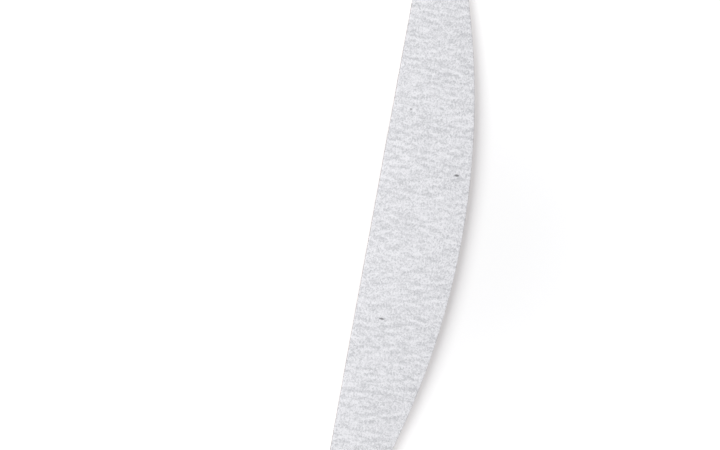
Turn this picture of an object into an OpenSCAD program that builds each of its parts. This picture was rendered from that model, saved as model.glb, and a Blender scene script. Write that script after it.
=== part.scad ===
// Half-moon emery board: a flat laminate with one straight edge, one curved edge and rounded ends.
// Length runs along X, the curved edge faces +Y, and the board lies on its lower grit face at Z = 0.
// The origin is the middle of the board's footprint.

/* [Outline] */
// Length of the board from tip to tip
board_length = 178; // [140:1:200]
// Width across the middle, from the straight edge to the crest of the curve
board_width = 28; // [20:0.5:34]
// Width left at each end, before the corners are rounded
tip_width = 11; // [10.5:0.5:16]
// Radius that rounds each of the four corners
corner_r = 5; // [2:0.25:5]

/* [Layers] */
// Thickness of the stiff plastic core
core_t = 1.2; // [0.6:0.1:3]
// Thickness of the glue film between the core and each foam pad
core_adhesive_t = 0.05; // [0.03:0.01:0.15]
// Thickness of each foam pad
foam_t = 0.95; // [0.5:0.05:3]
// Thickness of the glue film between each foam pad and its backing paper
paper_adhesive_t = 0.05; // [0.03:0.01:0.15]
// Thickness of the paper that carries the grit
backing_paper_t = 0.22; // [0.1:0.01:0.5]
// Thickness of the coat of grit on each paper
grit_coat_t = 0.13; // [0.05:0.01:0.4]

/* [Hidden] */
$fn = 240;

// Heights of the layers, each resting on the one below it
backing_paper_lower_z = grit_coat_t;
paper_adhesive_lower_z = backing_paper_lower_z + backing_paper_t;
foam_pad_lower_z = paper_adhesive_lower_z + paper_adhesive_t;
core_adhesive_lower_z = foam_pad_lower_z + foam_t;
core_strip_z = core_adhesive_lower_z + core_adhesive_t;
core_adhesive_upper_z = core_strip_z + core_t;
foam_pad_upper_z = core_adhesive_upper_z + core_adhesive_t;
paper_adhesive_upper_z = foam_pad_upper_z + foam_t;
backing_paper_upper_z = paper_adhesive_upper_z + paper_adhesive_t;
grit_coat_upper_z = backing_paper_upper_z + backing_paper_t;

// Colours of the five materials, as red, green and blue
grit_grey = [0.87, 0.87, 0.89];
paper_brown = [0.5, 0.45, 0.41];
foam_white = [0.95, 0.91, 0.89];
glue_cream = [0.91, 0.87, 0.82];
core_magenta = [0.52, 0.15, 0.36];

// The curved edge is one arc through both tips and the crest
half_length = board_length / 2;
straight_edge_y = -board_width / 2;
crest_y = board_width / 2;
curve_fall = board_width - tip_width;
curve_r = (pow(half_length, 2) + pow(curve_fall, 2)) / (2 * curve_fall);
curve_centre_y = crest_y - curve_r;

// A corner's arc touches the end of the board and one of its long edges
corner_x = half_length - corner_r;
lower_corner_y = straight_edge_y + corner_r;
upper_corner_y = curve_centre_y + sqrt(pow(curve_r - corner_r, 2) - pow(corner_x, 2));
upper_corner_angle = atan2(upper_corner_y - curve_centre_y, corner_x);

// The corner arcs pass the edges that they meet by this much, so that each cuts them at one clean point
corner_overrun = 0.002;
// How far a corner's cut reaches, well past the material that it takes away
corner_reach = 3 * corner_r;
// The long curve is drawn in finer steps than the small corners
curve_steps = 720;

// The four corners: the side in x, the height of the arc's centre, and the angle that the cut turns through
corners = [
    for (side = [-1, 1])
        for (place = [[lower_corner_y, -90], [upper_corner_y, upper_corner_angle]])
            [side, place[0], place[1]]
];

// The outline with its corners still sharp
module sharp_outline() {
    intersection() {
        translate([0, curve_centre_y])
            circle(r = curve_r, $fn = curve_steps);
        translate([-half_length, straight_edge_y])
            square([board_length, board_width]);
    }
}

// What the die takes off one corner, from the end of the board round to where its arc meets the long edge
module corner_cut(turn) {
    difference() {
        polygon([
            [0, 0],
            corner_reach * [1, 0],
            corner_reach * [1, sign(turn)],
            corner_reach * [cos(turn), sin(turn)]
        ]);
        circle(r = corner_r + corner_overrun);
    }
}

// The die-cut outline that every layer shares
module outline() {
    difference() {
        sharp_outline();
        for (corner = corners)
            translate([corner[0] * corner_x, corner[1]])
                mirror([corner[0] < 0 ? 1 : 0, 0])
                    corner_cut(corner[2]);
    }
}

// One flat layer of the laminate
module layer(z, thickness) {
    translate([0, 0, z])
        linear_extrude(height = thickness)
            outline();
}

module grit_coat_lower() {
    color(grit_grey)
        layer(0, grit_coat_t);
}

module backing_paper_lower() {
    color(paper_brown)
        layer(backing_paper_lower_z, backing_paper_t);
}

module paper_adhesive_lower() {
    color(glue_cream)
        layer(paper_adhesive_lower_z, paper_adhesive_t);
}

module foam_pad_lower() {
    color(foam_white)
        layer(foam_pad_lower_z, foam_t);
}

module core_adhesive_lower() {
    color(glue_cream)
        layer(core_adhesive_lower_z, core_adhesive_t);
}

module core_strip() {
    color(core_magenta)
        layer(core_strip_z, core_t);
}

module core_adhesive_upper() {
    color(glue_cream)
        layer(core_adhesive_upper_z, core_adhesive_t);
}

module foam_pad_upper() {
    color(foam_white)
        layer(foam_pad_upper_z, foam_t);
}

module paper_adhesive_upper() {
    color(glue_cream)
        layer(paper_adhesive_upper_z, paper_adhesive_t);
}

module backing_paper_upper() {
    color(paper_brown)
        layer(backing_paper_upper_z, backing_paper_t);
}

module grit_coat_upper() {
    color(grit_grey)
        layer(grit_coat_upper_z, grit_coat_t);
}

grit_coat_lower();
backing_paper_lower();
paper_adhesive_lower();
foam_pad_lower();
core_adhesive_lower();
core_strip();
core_adhesive_upper();
foam_pad_upper();
paper_adhesive_upper();
backing_paper_upper();
grit_coat_upper();
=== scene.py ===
"""The looks of a half-moon emery board: eleven die-cut layers, glued face to face, on a pale table."""

import math

import bpy
import numpy as np
from mathutils import Matrix, Vector
from mathutils.geometry import delaunay_2d_cdt


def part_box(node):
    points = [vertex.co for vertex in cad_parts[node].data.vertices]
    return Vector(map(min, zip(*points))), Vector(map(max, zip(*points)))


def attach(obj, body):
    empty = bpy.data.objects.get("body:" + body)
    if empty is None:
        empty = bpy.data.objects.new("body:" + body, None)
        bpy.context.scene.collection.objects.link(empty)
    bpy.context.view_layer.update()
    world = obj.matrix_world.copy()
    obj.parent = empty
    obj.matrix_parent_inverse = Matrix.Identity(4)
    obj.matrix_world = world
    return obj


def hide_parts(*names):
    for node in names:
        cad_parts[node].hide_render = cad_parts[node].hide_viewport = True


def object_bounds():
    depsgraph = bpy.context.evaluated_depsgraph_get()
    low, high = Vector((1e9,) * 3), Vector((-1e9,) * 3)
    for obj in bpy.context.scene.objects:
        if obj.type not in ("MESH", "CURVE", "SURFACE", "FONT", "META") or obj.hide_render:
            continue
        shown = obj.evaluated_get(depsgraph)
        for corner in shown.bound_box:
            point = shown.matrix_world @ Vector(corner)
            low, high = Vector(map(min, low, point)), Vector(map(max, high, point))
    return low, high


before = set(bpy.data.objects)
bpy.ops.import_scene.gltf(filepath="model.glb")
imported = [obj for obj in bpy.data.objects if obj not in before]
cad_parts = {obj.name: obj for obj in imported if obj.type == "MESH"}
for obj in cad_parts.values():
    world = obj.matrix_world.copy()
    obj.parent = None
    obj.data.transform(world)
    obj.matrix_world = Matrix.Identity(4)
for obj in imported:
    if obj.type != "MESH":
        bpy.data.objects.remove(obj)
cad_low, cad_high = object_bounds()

# The board is worked out in millimetres, and Blender counts in metres
MM = 0.001

# Camera

PHOTO_WIDTH_PX = 720
# The photo's scale on the board's upper face
FACE_PX_PER_MM = 3.294
CAMERA_ABOVE_FACE = 205.0
NEAREST_SEEN = 10.0
SENSOR_WIDTH = 36.0
# The point of the board that lies under the middle of the picture, in millimetres
MIDDLE_OF_VIEW = (0.87, -17.3)
# How far the board's length is turned from the upright of the picture, in radians
BOARD_TURN = 0.181

PICTURE_RIGHT = Vector((-math.sin(BOARD_TURN), math.cos(BOARD_TURN), 0))
PICTURE_UP = Vector((-math.cos(BOARD_TURN), -math.sin(BOARD_TURN), 0))


def set_camera():
    """Looks straight down on the upper face. The board crosses the picture from top to bottom."""
    lens = bpy.data.cameras.new("camera")
    lens.sensor_width = SENSOR_WIDTH
    lens.lens = FACE_PX_PER_MM * CAMERA_ABOVE_FACE / PHOTO_WIDTH_PX * SENSOR_WIDTH
    lens.clip_start = NEAREST_SEEN * MM
    camera = bpy.data.objects.new("camera", lens)
    turn = Matrix((PICTURE_RIGHT, PICTURE_UP, Vector((0, 0, 1)))).transposed()
    height = cad_high.z + CAMERA_ABOVE_FACE * MM
    place = Vector((MIDDLE_OF_VIEW[0] * MM, MIDDLE_OF_VIEW[1] * MM, height))
    camera.matrix_world = Matrix.Translation(place) @ turn.to_4x4()
    bpy.context.scene.collection.objects.link(camera)
    bpy.context.scene.camera = camera


set_camera()

# The die-cut outline, in millimetres: one straight edge, one long curve and four rounded corners

# Width left at each end, before the corners are rounded
TIP_WIDTH = 11.0
CORNER_R = 5.0
HALF_LENGTH = cad_high.x / MM
STRAIGHT_Y = cad_low.y / MM
CREST_Y = cad_high.y / MM
CURVE_FALL = CREST_Y - STRAIGHT_Y - TIP_WIDTH
CURVE_R = (HALF_LENGTH**2 + CURVE_FALL**2) / (2 * CURVE_FALL)
CURVE_Y = CREST_Y - CURVE_R
CORNER_X = HALF_LENGTH - CORNER_R
LOWER_CORNER_Y = STRAIGHT_Y + CORNER_R
UPPER_CORNER_Y = CURVE_Y + math.sqrt((CURVE_R - CORNER_R) ** 2 - CORNER_X**2)
UPPER_CORNER_ANGLE = math.atan2(UPPER_CORNER_Y - CURVE_Y, CORNER_X)


def straight(start, end, step):
    """Places a step apart from start up to end, and the way out from each, on the right as they go."""
    start, end = np.array(start), np.array(end)
    reach = np.linalg.norm(end - start)
    count = max(1, round(reach / step))
    ahead = (end - start) / reach
    places = start + np.arange(count)[:, None] / count * (end - start)
    return places, np.tile([ahead[1], -ahead[0]], (count, 1))


def curved(centre, radius, start, end, step):
    """Places a step apart on an arc from one angle up to the other, and the way out from each."""
    count = max(2, round(radius * (end - start) / step))
    angle = start + np.arange(count) / count * (end - start)
    outward = np.stack([np.cos(angle), np.sin(angle)], axis=1)
    return np.array(centre) + radius * outward, outward


# How many cells high a table of mottle is, which is more than the thickest layer needs
HIGHEST_CELLS = 64


def blended(table, down, across):
    """A table's values at places between its entries, eased from one to the next. Its ends join up."""
    row, column = np.floor(down).astype(int), np.floor(across).astype(int)
    past_row, past_column = down - row, across - column
    past_row = past_row * past_row * (3 - 2 * past_row)
    past_column = past_column * past_column * (3 - 2 * past_column)
    rows, columns = table.shape
    row, next_row = row % rows, (row + 1) % rows
    column, next_column = column % columns, (column + 1) % columns
    near = table[row, column] * (1 - past_row) + table[next_row, column] * past_row
    far = table[row, next_column] * (1 - past_row) + table[next_row, next_column] * past_row
    return near * (1 - past_column) + far * past_column


class Stations:
    """Stations round the outline, a step apart: their places, ways out, and lengths along the edge."""

    def __init__(self, step):
        mirrored = math.pi - UPPER_CORNER_ANGLE
        right_angle = math.pi / 2
        stretches = [
            straight((-CORNER_X, STRAIGHT_Y), (CORNER_X, STRAIGHT_Y), step),
            curved((CORNER_X, LOWER_CORNER_Y), CORNER_R, -right_angle, 0, step),
            straight((HALF_LENGTH, LOWER_CORNER_Y), (HALF_LENGTH, UPPER_CORNER_Y), step),
            curved((CORNER_X, UPPER_CORNER_Y), CORNER_R, 0, UPPER_CORNER_ANGLE, step),
            curved((0, CURVE_Y), CURVE_R, UPPER_CORNER_ANGLE, mirrored, step),
            curved((-CORNER_X, UPPER_CORNER_Y), CORNER_R, mirrored, math.pi, step),
            straight((-HALF_LENGTH, UPPER_CORNER_Y), (-HALF_LENGTH, LOWER_CORNER_Y), step),
            curved((-CORNER_X, LOWER_CORNER_Y), CORNER_R, math.pi, math.pi + right_angle, step),
        ]
        self.places = np.concatenate([places for places, _ in stretches])
        self.outward = np.concatenate([outward for _, outward in stretches])
        gaps = np.linalg.norm(np.roll(self.places, -1, axis=0) - self.places, axis=1)
        self.length = gaps.sum()
        self.along = np.cumsum(gaps) - gaps
        self.count = len(gaps)

    def waves(self, pitch, seed):
        """Smooth random values from -1 to 1 along the edge, a pitch from one to the next."""
        turns = round(self.length / pitch)
        table = np.random.default_rng(seed).uniform(-1, 1, (turns, 1))
        return blended(table, self.along / self.length * turns, np.zeros(self.count))

    def mottle(self, height, cell, seed):
        """Smooth random values from -1 to 1 over the cut edge, on cells this long and this high."""
        turns = round(self.length / cell[0])
        table = np.random.default_rng(seed).uniform(-1, 1, (turns, HIGHEST_CELLS))
        up = np.full(self.count, height / cell[1])
        return blended(table, self.along / self.length * turns, up)


def over_face(points, cell, seed):
    """Smooth random values from -1 to 1 over a face, on cells this long and this wide."""
    along, across = ((points - [-HALF_LENGTH, STRAIGHT_Y]) / cell).T
    shape = (int(2 * HALF_LENGTH / cell[0]) + 2, int((CREST_Y - STRAIGHT_Y) / cell[1]) + 2)
    return blended(np.random.default_rng(seed).uniform(-1, 1, shape), along, across)


def depth_inside(points):
    """How far each point lies inside the outline."""
    x, y = np.abs(points[:, 0]), points[:, 1]
    depth = np.minimum(y - STRAIGHT_Y, HALF_LENGTH - x)
    depth = np.minimum(depth, CURVE_R - np.hypot(x, y - CURVE_Y))
    for corner_y, lowest, highest in (
        (LOWER_CORNER_Y, -math.pi / 2, 0),
        (UPPER_CORNER_Y, 0, UPPER_CORNER_ANGLE),
    ):
        angle = np.arctan2(y - corner_y, x - CORNER_X)
        in_corner = (angle >= lowest) & (angle <= highest)
        round_it = CORNER_R - np.hypot(x - CORNER_X, y - corner_y)
        depth = np.where(in_corner, np.minimum(depth, round_it), depth)
    return depth


# What the die does to the edge of the whole laminate, in millimetres

# It pinches the papers and foams towards the core, most at the very edge
PINCH = 0.055
PINCH_REACH = 0.3
PINCH_WAVES = 7.0
# How much the pinch varies along the edge, as a share of itself
PINCH_UNEVENNESS = 0.3
# It wanders in from the true outline by up to this much
WANDER = 0.045
WANDER_WAVES = 9.0


def heights(node):
    """The heights of a node's lower and upper face."""
    return [corner.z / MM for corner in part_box(node)]


UPPER_FOAM = heights("foam_pad_upper")
LOWER_FOAM = heights("foam_pad_lower")
MIDDLE_Z = (cad_low.z + cad_high.z) / 2 / MM


def pinched(z, depth, unevenness):
    """Where a height comes to lie near the edge, once the die has pinched the foams."""
    above = np.clip((z - UPPER_FOAM[0]) / (UPPER_FOAM[1] - UPPER_FOAM[0]), 0, 1)
    below = np.clip((LOWER_FOAM[1] - z) / (LOWER_FOAM[1] - LOWER_FOAM[0]), 0, 1)
    fading = np.exp(-depth / PINCH_REACH)
    return z - (above - below) * PINCH * fading * (1 + PINCH_UNEVENNESS * unevenness)


def wander(stations):
    """How far in from the true outline the die's path lies."""
    return WANDER * (0.5 + 0.5 * stations.waves(WANDER_WAVES, seed=11))


# How far in from the die's path each material's cut edge lies, in millimetres. The outness of a row of
# points goes from 0 on the core's side of its layer to 1 on the outer side.

# The coat of grit: set back, rubbed round at its rim, with grains torn out, and rough
GRIT_BACK = 0.008
GRIT_RUB = 0.055
TORN_DEPTH = 0.06
TORN_ABOVE = 0.2
GRIT_ROUGHNESS = 0.008
# The paper: set back, with fibres that stand out, and cut at a slight slope
PAPER_BACK = 0.014
FIBRE_REACH = 0.012
PAPER_SLOPE = 0.004
# The glue: set back, and oozing out in places
GLUE_BACK = 0.03
GLUE_OOZE = 0.024
# The foam: set back, held in at the glue lines, with cells and pits cut open, and swollen in places
FOAM_BACK = 0.016
FOAM_HELD = 0.034
CROWN_POWER = 0.6
CELL_DEPTH = 0.05
CELLS_ABOVE = 0.05
PIT_DEPTH = 0.1
PITS_ABOVE = 0.62
FOAM_SWELL = 0.01
# The core: set back, bent over at its rims, scored and scuffed
CORE_BACK = 0.02
CORE_BEND = 0.045
BEND_POWER = 9
SCORE_DEPTH = 0.008
SCUFF_DEPTH = 0.016


def grit_edge(stations, outness, height):
    """Grains torn out here and there, and a rim that is rubbed round."""
    torn = np.maximum(0, stations.mottle(height, cell=(0.42, 0.09), seed=21) - TORN_ABOVE)
    rough = stations.mottle(height, cell=(0.2, 0.06), seed=22)
    return GRIT_BACK + GRIT_RUB * outness**2 + TORN_DEPTH * torn + GRIT_ROUGHNESS * rough


def paper_edge(stations, outness, height):
    """Short fibres that stand out from a clean cut."""
    fibres = stations.mottle(height, cell=(0.3, 0.05), seed=31) * stations.waves(pitch=0.9, seed=32)
    return PAPER_BACK - FIBRE_REACH * fibres + PAPER_SLOPE * outness


def glue_edge(stations, outness, height):
    """A film that stays back from the edge, and oozes out a little in places."""
    return GLUE_BACK + GLUE_OOZE * stations.waves(pitch=1.6, seed=41)


def foam_edge(stations, outness, height):
    """Cells cut open, between glue lines that hold the foam back."""
    crown = max(0, math.sin(math.pi * outness)) ** CROWN_POWER
    cells = np.maximum(0, stations.mottle(height, cell=(0.2, 0.17), seed=51) - CELLS_ABOVE)
    pits = np.maximum(0, stations.mottle(height, cell=(0.75, 0.3), seed=52) - PITS_ABOVE)
    swell = stations.mottle(height, cell=(2.6, 0.6), seed=53)
    opened = (CELL_DEPTH * cells + PIT_DEPTH * pits) * crown
    return FOAM_BACK + FOAM_HELD * (1 - crown) + opened - FOAM_SWELL * swell


def core_edge(stations, outness, height):
    """Plastic that the die bends over at both rims, and leaves finely scored between them."""
    rims = np.abs(2 * outness - 1) ** BEND_POWER
    scores = stations.waves(pitch=0.26, seed=61) + 0.6 * stations.waves(pitch=0.7, seed=62)
    scuffs = stations.mottle(height, cell=(1.1, 0.16), seed=63)
    scuffs = scuffs * np.maximum(0, stations.waves(pitch=4.0, seed=64))
    return CORE_BACK + CORE_BEND * rims + SCORE_DEPTH * scores + SCUFF_DEPTH * np.abs(scuffs)


# The open faces of grit, in millimetres

GRIT_PITCH = 0.28
# How far a point of a face is shaken out of its row, as a share of the pitch
GRIT_SHAKE = 0.32
# How deep the coat lies on the whole, and how far each part of its relief can lift it
GRIT_SUNK = 0.055
STREAK_RELIEF = 0.008
CLUMP_RELIEF = 0.010
SWELL_RELIEF = 0.005
TIP_RELIEF = 0.032
# Rings of points inside a rim: how far in each lies, and how many stations apart its points are
OPEN_RINGS = [(0.06, 1), (0.14, 1), (0.26, 2), (0.42, 2), (0.62, 2), (0.86, 2), (1.14, 3)]
HIDDEN_RINGS = [(0.25, 5), (0.75, 7), (1.6, 12)]
# How far a ring's points are shaken out of line, as a share of their spacing
RING_SHAKE = 0.15
RING_SEED = 71
# How far in the die's wear on the grit reaches
RIM_WEAR = 0.45
# How clear the tips of the grains stand where a layer has no relief
PLAIN_TIP = 0.5


def scattered(pitch, margin, seed):
    """Points that lie further inside than a margin, a pitch apart in rows, and shaken out of line."""
    rows = np.arange(STRAIGHT_Y, CREST_Y, pitch * math.sqrt(3) / 2)
    x, y = np.meshgrid(np.arange(-HALF_LENGTH, HALF_LENGTH, pitch), rows)
    x[1::2] += pitch / 2
    points = np.stack([x.ravel(), y.ravel()], axis=1)
    points += np.random.default_rng(seed).uniform(-GRIT_SHAKE, GRIT_SHAKE, points.shape) * pitch
    return points[depth_inside(points) > margin]


def grit_relief(points, seed):
    """How deep the coat lies under its highest grains, and how clear each tip stands, from 0 to 1."""
    streaks = over_face(points, cell=(0.5, 1.5), seed=seed)
    clumps = over_face(points, cell=(0.85, 0.95), seed=seed + 1)
    swell = over_face(points, cell=(5.5, 4.0), seed=seed + 2)
    tips = np.random.default_rng(seed + 3).uniform(0, 1, len(points)) ** 2
    depth = GRIT_SUNK - STREAK_RELIEF * streaks - CLUMP_RELIEF * clumps
    depth = depth - SWELL_RELIEF * swell - TIP_RELIEF * tips
    clear = 0.5 * tips + 0.25 + 0.2 * streaks + 0.15 * clumps
    return depth, np.clip(clear, 0, 1)


# What the filling keeps, which is the triangles inside the rim, and how near two of its points may lie
INSIDE_RIM = 1
NEAREST_POINTS = 1e-9


def filled(rim, inner):
    """Triangles that fill a rim by way of the points inside it, anticlockwise seen from above."""
    count = len(rim)
    hoop = [(i, (i + 1) % count) for i in range(count)]
    # The filling works in single precision, so the turns below are taken from the same numbers
    spots = np.concatenate([rim, inner]).astype(np.float32).astype(float)
    made = delaunay_2d_cdt([tuple(spot) for spot in spots], hoop, [], INSIDE_RIM, NEAREST_POINTS, False)
    if len(made[0]) != len(spots):
        raise RuntimeError("two points of a face fell together")
    corners = np.sort(np.array(made[2]), axis=1)
    a, b, c = (spots[corners[:, k]] for k in range(3))
    turned = (b[:, 0] - a[:, 0]) * (c[:, 1] - a[:, 1]) - (b[:, 1] - a[:, 1]) * (c[:, 0] - a[:, 0])
    # A triangle on three rim points that turns against the rim lies outside it, across a hollow
    outside = (corners[:, 2] < count) & (turned < 0)
    corners[turned < 0] = corners[turned < 0][:, ::-1]
    return corners[~outside]


# Where each piece's colours go when they are baked to a picture, as shares of its width and height

BAKE_MAP = "OFBake"
# The margin round each drawing on the page
PAGE_EDGE = 0.008
HALF_FACE_SCALE = (1 - 3 * PAGE_EDGE) / HALF_LENGTH
HALF_FACE_HEIGHT = (CREST_Y - STRAIGHT_Y) * HALF_FACE_SCALE
# How wide and how high a hidden face is drawn
SMALL_FACE = (0.47, 0.05)


def half_faces_on_page(points, low):
    """An open face in two halves, one over the other, as large as they go."""
    right = points[:, :, 0].mean(axis=1) > 0
    u = points[:, :, 0] + np.where(right, 0, HALF_LENGTH)[:, None]
    v = points[:, :, 1] - STRAIGHT_Y
    above = np.where(right, HALF_FACE_HEIGHT + PAGE_EDGE, 0)[:, None]
    return np.stack([u * HALF_FACE_SCALE + 2 * PAGE_EDGE, low + v * HALF_FACE_SCALE + above], axis=2)


def small_face_on_page(points, left, low):
    """A hidden face, drawn small."""
    u = (points[:, :, 0] / HALF_LENGTH + 1) / 2
    v = (points[:, :, 1] - STRAIGHT_Y) / (CREST_Y - STRAIGHT_Y)
    return np.stack([left + u * SMALL_FACE[0], low + v * SMALL_FACE[1]], axis=2)


def wall_on_page(count, rows, strips, low):
    """The cut edge, laid out in strips from low up to the top of the page."""
    station, row = np.meshgrid(np.arange(count), np.arange(rows))
    station, row = station.ravel(), row.ravel()
    per_strip = math.ceil(count / strips)
    strip = station // per_strip
    height = (1 - low) / strips
    base = low + strip * height
    left = (station - strip * per_strip) / per_strip
    right = left + 1 / per_strip
    bottom, top = row / rows, (row + 1) / rows
    across = PAGE_EDGE + np.stack([left, right, right, left], axis=1) * (1 - 2 * PAGE_EDGE)
    up = base[:, None] + np.stack([bottom, bottom, top, top], axis=1) * (height - PAGE_EDGE)
    return np.stack([across, up], axis=2)


EDGE_FINISH = 0
FACE_FINISH = 1
# Faces that meet at more than this angle meet at a sharp edge
SHARP_FROM = math.radians(50)


class Layer:
    """One die-cut layer, modelled in place of its node. A seed gives it an open face of grit.

    Its cut edge has stations a step apart, rows of faces up it, and strips on the baked page.
    """

    def __init__(self, node, step, rows, strips, edge, seed=None):
        self.node = node
        self.low, self.high = heights(node)
        self.is_upper = self.low + self.high > 2 * MIDDLE_Z
        self.stations = Stations(step)
        self.unevenness = self.stations.waves(PINCH_WAVES, seed=12)
        self.rows = rows
        self.strips = strips
        self.edge = edge
        self.seed = seed
        self.points, self.rims, self.tips = [], [], []
        self.triangles, self.on_page, self.finish_numbers = [], [], []
        self.build_wall()
        self.build_face(True)
        self.build_face(False)

    def add_points(self, points, rim, tip):
        """Adds points, with how near the rim each lies and how clear its tip stands, from 0 to 1."""
        self.points.append(points)
        self.rims.append(np.broadcast_to(rim, len(points)))
        self.tips.append(np.broadcast_to(tip, len(points)))

    def add_triangles(self, triangles, on_page, finish_number):
        """Adds triangles, with their places on the baked page and the number of their finish."""
        self.triangles.append(triangles)
        self.on_page.append(on_page.reshape(-1, 2))
        self.finish_numbers.append(np.full(len(triangles), finish_number))

    def build_wall(self):
        """The rows of points up the cut edge, from the lower face on, and the faces between them."""
        path = wander(self.stations)
        self.insets = []
        for row in range(self.rows + 1):
            up = row / self.rows
            height = up * (self.high - self.low)
            outness = up if self.is_upper else 1 - up
            inset = path + self.edge(self.stations, outness, height)
            places = self.stations.places - self.stations.outward * inset[:, None]
            z = pinched(self.low + height, 0, self.unevenness)
            tip = PLAIN_TIP
            if self.seed is not None:
                sunk, tip = grit_relief(places, self.seed)
                z = z - sunk * outness * (1 if self.is_upper else -1)
            self.insets.append(inset)
            self.add_points(np.column_stack([places, np.broadcast_to(z, len(places))]), 1, tip)
        count = self.stations.count
        station, row = (part.ravel() for part in np.meshgrid(np.arange(count), np.arange(self.rows)))
        ahead = (station + 1) % count
        corners = np.stack([station, ahead, ahead + count, station + count], axis=1)
        corners = corners + row[:, None] * count
        on_page = wall_on_page(count, self.rows, self.strips, self.wall_low())
        for half in ([0, 1, 2], [0, 2, 3]):
            self.add_triangles(corners[:, half], on_page[:, half], EDGE_FINISH)

    def wall_low(self):
        """Where the wall's strips begin on the page, above the faces."""
        return self.small_low() + SMALL_FACE[1] + PAGE_EDGE

    def small_low(self):
        """Where the faces that don't show begin on the page."""
        return PAGE_EDGE if self.seed is None else 2 * HALF_FACE_HEIGHT + 4 * PAGE_EDGE

    def rings(self, row, rings, shake):
        """Points inside a row of the wall, how far in they lie, and how uneven the pinch is there."""
        dice = np.random.default_rng(RING_SEED)
        inner, depths, unevenness = [], [], []
        for distance, spacing in rings:
            chosen = np.arange(0, self.stations.count, spacing)
            outward = self.stations.outward[chosen]
            along = np.column_stack([-outward[:, 1], outward[:, 0]])
            slip = dice.uniform(-1, 1, (len(chosen), 2)) * shake
            depth = distance * (1 + slip[:, 0])
            reach = (self.insets[row][chosen] + depth)[:, None]
            slide = (slip[:, 1] * spacing * self.stations.length / self.stations.count)[:, None]
            inner.append(self.stations.places[chosen] - outward * reach + along * slide)
            depths.append(depth)
            unevenness.append(self.unevenness[chosen])
        return np.concatenate(inner), np.concatenate(depths), np.concatenate(unevenness)

    def build_face(self, is_top):
        """One face, from the last row of the wall inwards."""
        is_open = self.seed is not None and is_top == self.is_upper
        row = self.rows if is_top else 0
        rim = self.points[row][:, :2]
        if is_open:
            inner, depths, unevenness = self.rings(row, OPEN_RINGS, RING_SHAKE)
            innermost = OPEN_RINGS[-1][0] * (1 + RING_SHAKE)
            grains = scattered(GRIT_PITCH, innermost + 0.5 * GRIT_PITCH, self.seed)
            inner = np.concatenate([inner, grains])
            depths = np.concatenate([depths, depth_inside(grains)])
            unevenness = np.concatenate([unevenness, np.zeros(len(grains))])
            sunk, tips = grit_relief(inner, self.seed)
        else:
            inner, depths, unevenness = self.rings(row, HIDDEN_RINGS, 0)
            sunk, tips = 0, PLAIN_TIP
        z = pinched(self.high if is_top else self.low, depths, unevenness) - (sunk if is_top else -sunk)
        corners = filled(rim, inner)
        spots = np.concatenate([rim, inner])[corners]
        if is_open:
            on_page = half_faces_on_page(spots, PAGE_EDGE)
        else:
            left = PAGE_EDGE if is_top else PAGE_EDGE + 0.5
            on_page = small_face_on_page(spots, left, self.small_low())
        before = sum(len(points) for points in self.points)
        numbers = np.concatenate([row * len(rim) + np.arange(len(rim)), before + np.arange(len(inner))])
        self.add_points(np.column_stack([inner, z]), np.exp(-depths / RIM_WEAR), tips)
        if not is_top:
            corners, on_page = corners[:, ::-1], on_page[:, ::-1]
        self.add_triangles(numbers[corners], on_page, FACE_FINISH if is_open else EDGE_FINISH)

    def piece(self, edge_finish, face_finish=None):
        """The layer as an object that rides on the board and stands for its node."""
        name = self.node + "_layer"
        mesh = bpy.data.meshes.new(name)
        mesh.from_pydata(np.concatenate(self.points) * MM, [], np.concatenate(self.triangles))
        for share, values in (("rim", self.rims), ("tip", self.tips)):
            held = mesh.attributes.new(share, "FLOAT", "POINT")
            held.data.foreach_set("value", np.concatenate(values))
        page = mesh.uv_layers.new(name=BAKE_MAP)
        page.uv.foreach_set("vector", np.concatenate(self.on_page).ravel())
        mesh.materials.append(edge_finish)
        if face_finish is not None:
            mesh.materials.append(face_finish)
        mesh.polygons.foreach_set("material_index", np.concatenate(self.finish_numbers))
        mesh.polygons.foreach_set("use_smooth", np.concatenate(self.finish_numbers) == EDGE_FINISH)
        mesh.set_sharp_from_angle(angle=SHARP_FROM)
        mesh.update()
        piece = bpy.data.objects.new(name, mesh)
        bpy.context.scene.collection.objects.link(piece)
        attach(piece, "root")
        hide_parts(self.node)
        return piece


# Finishes

# How far apart in the noise two seeds lie, in cells
SEED_SHIFT = 7.31


def srgb(red, green, blue):
    """A colour given in screen levels from 0 to 255, as Blender's linear light."""
    light = []
    for share in (red / 255, green / 255, blue / 255):
        light.append(share / 12.92 if share < 0.04045 else ((share + 0.055) / 1.055) ** 2.4)
    return [*light, 1]


class Wire:
    """What one socket of a shader gives. Arithmetic on it adds Math nodes."""

    def __init__(self, finish, socket):
        self.finish = finish
        self.socket = socket

    def reckoned(self, operation, *terms):
        return self.finish.node("ShaderNodeMath", {"operation": operation}, dict(enumerate(terms)))

    def __add__(self, other):
        return self.reckoned("ADD", self, other)

    def __sub__(self, other):
        return self.reckoned("SUBTRACT", self, other)

    def __rsub__(self, other):
        return self.reckoned("SUBTRACT", other, self)

    def __mul__(self, other):
        return self.reckoned("MULTIPLY", self, other)

    __radd__ = __add__
    __rmul__ = __mul__


def socket_of(sockets, name):
    """A socket, by its number or by its identifier."""
    if isinstance(name, int):
        return sockets[name]
    return next(socket for socket in sockets if socket.identifier == name)


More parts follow.
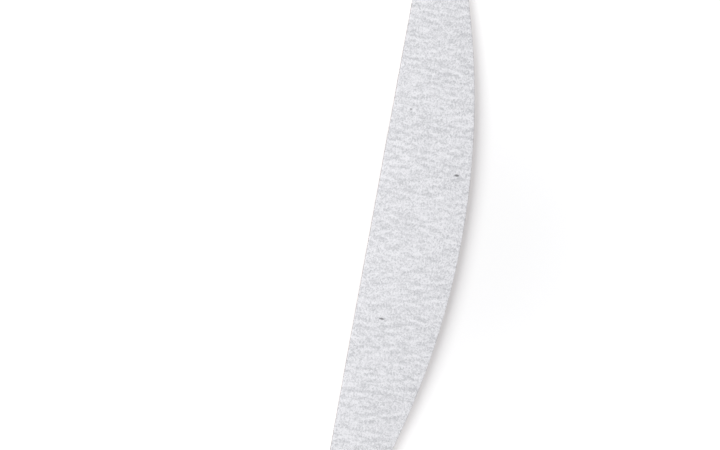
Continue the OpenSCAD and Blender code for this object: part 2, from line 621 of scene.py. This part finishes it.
class Finish:
    """A material in the making."""

    def __init__(self, name, owner=None):
        self.material = owner or bpy.data.materials.new(name)
        self.material.use_nodes = True
        self.tree = self.material.node_tree
        self.tree.nodes.clear()
        inputs = {"Vector": self.node("ShaderNodeTexCoord", output="Object"), "Scale": 1 / MM}
        self.place = self.node("ShaderNodeVectorMath", {"operation": "SCALE"}, inputs)

    def node(self, kind, settings={}, inputs={}, output=0):
        """Adds a node, with its settings and then its sockets' values or wires. Gives one output."""
        node = self.tree.nodes.new(kind)
        for name, setting in settings.items():
            setattr(node, name, setting)
        for name, value in inputs.items():
            socket = socket_of(node.inputs, name)
            if isinstance(value, Wire):
                self.tree.links.new(value.socket, socket)
            else:
                socket.default_value = value
        return None if output is None else Wire(self, socket_of(node.outputs, output))

    def on_cells(self, size, seed, ahead=0, turn=0):
        """The place on the board, counted in cells of this size in millimetres.

        It can lie so far ahead along the board, and the cells can be turned by an angle in radians.
        """
        place = self.place
        if turn:
            inputs = {"Vector": place, "Angle": turn}
            place = self.node("ShaderNodeVectorRotate", {"rotation_type": "Z_AXIS"}, inputs)
        shift = [seed * SEED_SHIFT + ahead / size[0], seed * SEED_SHIFT, seed * SEED_SHIFT]
        inputs = {0: place, 1: [1 / side for side in size], 2: shift}
        return self.node("ShaderNodeVectorMath", {"operation": "MULTIPLY_ADD"}, inputs)

    def cloud(self, size, seed, detail=2, ahead=0, turn=0):
        """Soft noise round 0, in lumps of this size in millimetres."""
        inputs = {"Vector": self.on_cells(size, seed, ahead, turn), "Scale": 1, "Detail": detail}
        return self.node("ShaderNodeTexNoise", {}, inputs, "Fac") - 0.5

    def cells(self, size, seed, output="Distance"):
        """Cells of this size in millimetres: how far from its middle, or a random colour for each."""
        inputs = {"Vector": self.on_cells(size, seed), "Scale": 1}
        return self.node("ShaderNodeTexVoronoi", {}, inputs, output)

    def chance(self, size, seed):
        """A random value from 0 to 1 for each cell of this size in millimetres."""
        colour = self.cells(size, seed, "Color")
        return self.node("ShaderNodeSeparateColor", {}, {"Color": colour}, "Red")

    def hollows(self, size, seed):
        """From 0 on the walls between cells of this size up to 1 inside them."""
        inputs = {"Vector": self.on_cells(size, seed), "Scale": 1}
        from_wall = self.node("ShaderNodeTexVoronoi", {"feature": "DISTANCE_TO_EDGE"}, inputs)
        return self.eased(from_wall, low=-0.05, high=0.42)

    def eased(self, value, low, high):
        """From 0 up to 1 as a value goes from low up to high."""
        inputs = {"Value": value, "From Min": low, "From Max": high}
        return self.node("ShaderNodeMapRange", {"interpolation_type": "SMOOTHSTEP"}, inputs)

    def share(self, name):
        """A value that the mesh holds at each of its points."""
        return self.node("ShaderNodeAttribute", {"attribute_name": name}, {}, "Fac")

    def mixed(self, share, first, second):
        """One colour where the share is 0, going over to another where it is 1."""
        inputs = {"Factor_Float": share, "A_Color": first, "B_Color": second}
        return self.node("ShaderNodeMix", {"data_type": "RGBA"}, inputs, "Result_Color")

    def spot(self, middle, radii, ragged):
        """From 1 in a ragged spot of the board down to 0 outside it."""
        inputs = {0: self.place, 1: [*middle, 0]}
        away = self.node("ShaderNodeVectorMath", {"operation": "SUBTRACT"}, inputs)
        inputs = {0: away, 1: [1 / radii[0], 1 / radii[1], 0]}
        flat = self.node("ShaderNodeVectorMath", {"operation": "MULTIPLY"}, inputs)
        reach = self.node("ShaderNodeVectorMath", {"operation": "LENGTH"}, {0: flat}, "Value")
        return 1 - self.eased(reach + ragged, low=0.6, high=1.3)

    def made(self, colour, roughness, height, depth, specular=0.5):
        """The material, with its colour, its roughness, and a relief of this depth in millimetres."""
        normal = self.node("ShaderNodeBump", {}, {"Distance": depth * MM, "Height": height})
        inputs = {"Base Color": colour, "Roughness": roughness, "Normal": normal}
        inputs["Specular IOR Level"] = specular
        surface = self.node("ShaderNodeBsdfPrincipled", {}, inputs)
        self.node("ShaderNodeOutputMaterial", {}, {"Surface": surface}, None)
        return self.material


# The streaks of the grit run across the board, and turn a little from that, in radians
STREAK_SIZE = (1.15, 4.0, 1)
STREAK_TURN = -0.05
GRAIN_SIZE = (0.16, 0.16, 0.16)
FILLER_GREY = srgb(246, 246, 250)
GRAIN_GREY = srgb(200, 201, 205)
SPECK_GREY = srgb(112, 112, 115)
RESIN_BROWN = srgb(122, 112, 103)
BROKEN_GRAIN = srgb(186, 182, 178)
PAPER_LIGHT = srgb(146, 132, 119)
PAPER_DARK = srgb(109, 96, 88)
FOAM_CELL = (0.15, 0.15, 0.12)
FOAM_PORE = (0.06, 0.06, 0.05)
FOAM_WHITE = srgb(249, 238, 233)
# The darker foam colour: painted shade inside the cut-open cells and pores, and the random tone of the
# fine grains
FOAM_PIT_SHADE_AND_GRAIN = srgb(226, 211, 204)
FOAM_DUST = srgb(221, 208, 200)
CORE_DUSTY = srgb(151, 82, 116)
CORE_DEEP = srgb(110, 6, 68)
CORE_SCUFF = srgb(168, 104, 138)
CORE_BRUISE = srgb(98, 42, 86)
CORE_SPOT = srgb(84, 10, 60)
GLUE_CREAM = srgb(238, 228, 214)
GLUE_DUST = srgb(204, 192, 180)

# Small dark flaws in the upper face: where, how far they reach along and across the board, and how dark
UPPER_SPECKS = [
    ((-19.2, 8.85), (0.36, 0.7), 0.9),
    ((27.7, -5.8), (0.3, 0.85), 0.85),
    ((-36.5, -8.4), (0.36, 0.4), 0.6),
    ((68.0, -2.6), (0.3, 0.35), 0.5),
    ((42.1, 8.4), (0.24, 0.24), 0.55),
]
LOWER_SPECKS = [
    ((-52.0, 3.1), (0.3, 0.22), 0.6),
    ((12.4, 6.7), (0.22, 0.4), 0.5),
    ((41.5, -9.3), (0.3, 0.3), 0.3),
]


def grit_face(name, seed, specks):
    """Grey grains, dusted with a pale filler and drawn out in streaks across the board."""
    finish = Finish(name)
    # A streak is soft noise less what the noise is a streak's width further on
    here, further_on = (
        finish.cloud(STREAK_SIZE, seed, detail=0, ahead=ahead, turn=STREAK_TURN)
        for ahead in (0, STREAK_SIZE[0])
    )
    streaks = here - further_on
    clumps = finish.cloud((0.55, 0.55, 1), seed + 1, detail=1)
    grains = finish.chance(GRAIN_SIZE, seed + 2) - 0.5
    drift = finish.cloud((5, 7, 7), seed + 3, detail=3)
    tip = finish.share("tip") - 0.5
    rim = finish.share("rim")
    shade = 0.45 + 0.66 * streaks + 1.8 * clumps + 0.8 * grains
    shade = shade + 0.3 * tip + 0.55 * drift - 0.05 * rim
    colour = finish.mixed(shade, FILLER_GREY, GRAIN_GREY)
    ragged = finish.cloud((0.3, 0.3, 0.3), seed + 4)
    for middle, radii, strength in specks:
        colour = finish.mixed(finish.spot(middle, radii, ragged) * strength, colour, SPECK_GREY)
    lumps = finish.cloud((0.4, 0.4, 0.4), seed + 5)
    height = 0.5 * grains - finish.cells(GRAIN_SIZE, seed + 2) + lumps
    return finish.made(colour, roughness=0.88 - 0.14 * grains, height=height, depth=0.05)


def grit_cut():
    """The coat where the die went through it: grains broken in their brown resin."""
    finish = Finish("grit_cut")
    grains = finish.chance((0.16, 0.16, 0.09), seed=1)
    dust = finish.cloud((1.6, 1.6, 0.3), seed=2)
    colour = finish.mixed(0.45 + 0.7 * (grains - 0.5) + dust, RESIN_BROWN, BROKEN_GRAIN)
    return finish.made(colour, roughness=0.9 - 0.12 * grains, height=grains, depth=0.03)


def paper_cut():
    """Resin-soaked paper, with its fibres along the edge."""
    finish = Finish("paper_cut")
    fibres = finish.cloud((0.16, 0.16, 0.03), seed=1, detail=4)
    stains = finish.cloud((5.0, 5.0, 0.8), seed=2)
    colour = finish.mixed(0.5 + 0.9 * fibres + 1.4 * stains, PAPER_LIGHT, PAPER_DARK)
    return finish.made(colour, roughness=0.86 + 0.2 * fibres, height=fibres, depth=0.022)


def foam_cut():
    """Foam with its cells cut open, with painted shade darkening the cells and pores, a little dusty in
    places.
    """
    finish = Finish("foam_cut")
    hollows = finish.hollows(FOAM_CELL, seed=1)
    pores = finish.hollows(FOAM_PORE, seed=2)
    blotches = finish.cloud((3.0, 3.0, 0.8), seed=3)
    grains = finish.cloud((0.09, 0.09, 0.07), seed=4, detail=3)
    pits = hollows * (0.2 + 0.8 * finish.chance(FOAM_CELL, seed=1))
    # Painted shade: the colour darkens inside the cut-open cells and pores, where shade falls; the fine
    # grains add random tone
    colour = finish.mixed(0.75 * pits + 0.2 * pores + 0.6 * grains, FOAM_WHITE, FOAM_PIT_SHADE_AND_GRAIN)
    dusty = finish.eased(blotches, low=0.02, high=0.3)
    colour = finish.mixed(dusty * 0.5, colour, FOAM_DUST)
    height = 1 - pits - 0.3 * pores - grains
    return finish.made(colour, roughness=0.93 - 0.08 * pits, height=height, depth=0.026, specular=0.3)


def core_cut():
    """Magenta plastic, sheared by the die: mottled, scored and scuffed, with bruises and dark spots."""
    finish = Finish("core_cut")
    scores = finish.cloud((0.16, 0.16, 1.6), seed=1, detail=3)
    mottle = finish.cloud((0.6, 0.6, 0.45), seed=7, detail=5)
    cloudy = finish.cloud((4.5, 4.5, 1.6), seed=2)
    drift = finish.cloud((24, 24, 24), seed=6)
    scuffs = finish.eased(finish.cloud((0.8, 0.8, 0.1), seed=3, detail=4), low=0.06, high=0.22)
    bruises = finish.eased(finish.cloud((2.2, 2.2, 0.5), seed=4), low=0.1, high=0.25)
    spots = 1 - finish.eased(finish.cells((2.6, 2.6, 1.4), seed=5), low=0.06, high=0.12)
    shade = 0.5 + 1.8 * cloudy + 2.8 * mottle + 0.8 * scores + drift
    colour = finish.mixed(shade, CORE_DUSTY, CORE_DEEP)
    colour = finish.mixed(scuffs * 0.5, colour, CORE_SCUFF)
    colour = finish.mixed(bruises * 0.55, colour, CORE_BRUISE)
    colour = finish.mixed(spots * 0.6, colour, CORE_SPOT)
    roughness = 0.6 + 0.2 * scuffs + 0.3 * scores
    return finish.made(colour, roughness, height=scores + 0.4 * scuffs, depth=0.02, specular=0.25)


def glue_line():
    """A cream film of glue, dusty where it lies bare."""
    finish = Finish("glue_line")
    beads = finish.cloud((0.5, 0.5, 0.1), seed=1)
    dust = finish.eased(finish.cloud((1.5, 1.5, 0.5), seed=2), low=-0.05, high=0.2)
    colour = finish.mixed(dust * 0.5, GLUE_CREAM, GLUE_DUST)
    return finish.made(colour, roughness=0.4 + 0.5 * beads, height=beads, depth=0.03)


# The eleven layers, from the table up

grit_cut_finish = grit_cut()
paper_finish = paper_cut()
glue_finish = glue_line()
foam_finish = foam_cut()
core_finish = core_cut()

for side, seed, specks in (("lower", 200, LOWER_SPECKS), ("upper", 100, UPPER_SPECKS)):
    layer = Layer("grit_coat_" + side, step=0.1, rows=3, strips=8, edge=grit_edge, seed=seed)
    piece = layer.piece(grit_cut_finish, grit_face("grit_face_" + side, seed, specks))
    layer = Layer("backing_paper_" + side, step=0.1, rows=4, strips=8, edge=paper_edge)
    piece = layer.piece(paper_finish)
    for glue in ("paper_adhesive_", "core_adhesive_"):
        layer = Layer(glue + side, step=0.2, rows=2, strips=8, edge=glue_edge)
        piece = layer.piece(glue_finish)
    layer = Layer("foam_pad_" + side, step=0.12, rows=9, strips=12, edge=foam_edge)
    piece = layer.piece(foam_finish)

layer = Layer("core_strip", step=0.12, rows=12, strips=12, edge=core_edge)
piece = layer.piece(core_finish)

# The table, the lamp and the room, with their sizes in metres

WHITE = [1, 1, 1, 1]
TABLE_SIZE = 1.6
# The table lies this far below the board, which keeps their faces apart
TABLE_GAP = 0.00002
TABLE_GREY = srgb(228, 228, 229)
TABLE_ROUGHNESS = 0.9
# The table glows as the camera sees it, so that it shows as white, and more so further from the board
TABLE_GLOW = 0.25
FAR_GLOW = 0.55
# The glow grows from the first to the second of these distances from the board's middle, in millimetres
FAR_FROM = (20, 160)
# The lamp's width, how far it is from the board, and how far it leans towards the straight edge
KEY_SIZE = 0.24
KEY_AWAY = 0.34
KEY_LEAN = math.radians(38)
KEY_WATTS = 0.8
# How strongly the room lights the board, where 1 shows as white
ROOM_LIGHT = 0.51


def set_table():
    """A pale table top that shows as white, apart from the board's shadow."""
    half = TABLE_SIZE / 2
    z = cad_low.z - TABLE_GAP
    mesh = bpy.data.meshes.new("table")
    corners = [(-half, -half, z), (half, -half, z), (half, half, z), (-half, half, z)]
    mesh.from_pydata(corners, [], [(0, 1, 2, 3)])
    table = bpy.data.objects.new("table", mesh)
    bpy.context.scene.collection.objects.link(table)
    finish = Finish("table_top")
    away = finish.node("ShaderNodeVectorMath", {"operation": "LENGTH"}, {0: finish.place}, "Value")
    glow = TABLE_GLOW + FAR_GLOW * finish.eased(away, *FAR_FROM)
    inputs = {"Base Color": TABLE_GREY, "Roughness": TABLE_ROUGHNESS, "Emission Color": WHITE}
    inputs["Emission Strength"] = seen_rays(finish) * glow
    surface = finish.node("ShaderNodeBsdfPrincipled", {}, inputs)
    finish.node("ShaderNodeOutputMaterial", {}, {"Surface": surface}, None)
    mesh.materials.append(finish.material)


def seen_rays(finish):
    """1 for what is seen straight, mirrored or through glass, and 0 for the light on the board."""
    rays = ("Is Camera Ray", "Is Glossy Ray", "Is Transmission Ray")
    camera, glossy, through = (finish.node("ShaderNodeLightPath", output=ray) for ray in rays)
    return camera + glossy + through


def hang_key():
    """A soft square lamp, up beyond the straight edge, aimed at the middle of the board."""
    lamp = bpy.data.lights.new("key", "AREA")
    lamp.size = KEY_SIZE
    lamp.energy = KEY_WATTS
    key = bpy.data.objects.new("key", lamp)
    lean = Matrix.Rotation(KEY_LEAN, 4, "X")
    key.matrix_world = lean @ Matrix.Translation((0, 0, KEY_AWAY))
    bpy.context.scene.collection.objects.link(key)


def light_room():
    """Even light from all round, which shows as plain white."""
    world = bpy.data.worlds.new("room")
    bpy.context.scene.world = world
    world.use_nodes = True
    finish = Finish("room_light", world)
    seen = seen_rays(finish)
    strength = ROOM_LIGHT + (1 - ROOM_LIGHT) * finish.eased(seen, 0, 1)
    light = finish.node("ShaderNodeBackground", {}, {"Color": WHITE, "Strength": strength})
    finish.node("ShaderNodeOutputWorld", {}, {"Surface": light}, None)


set_table()
hang_key()
light_room()

bpy.context.scene.view_settings.view_transform = "Standard"
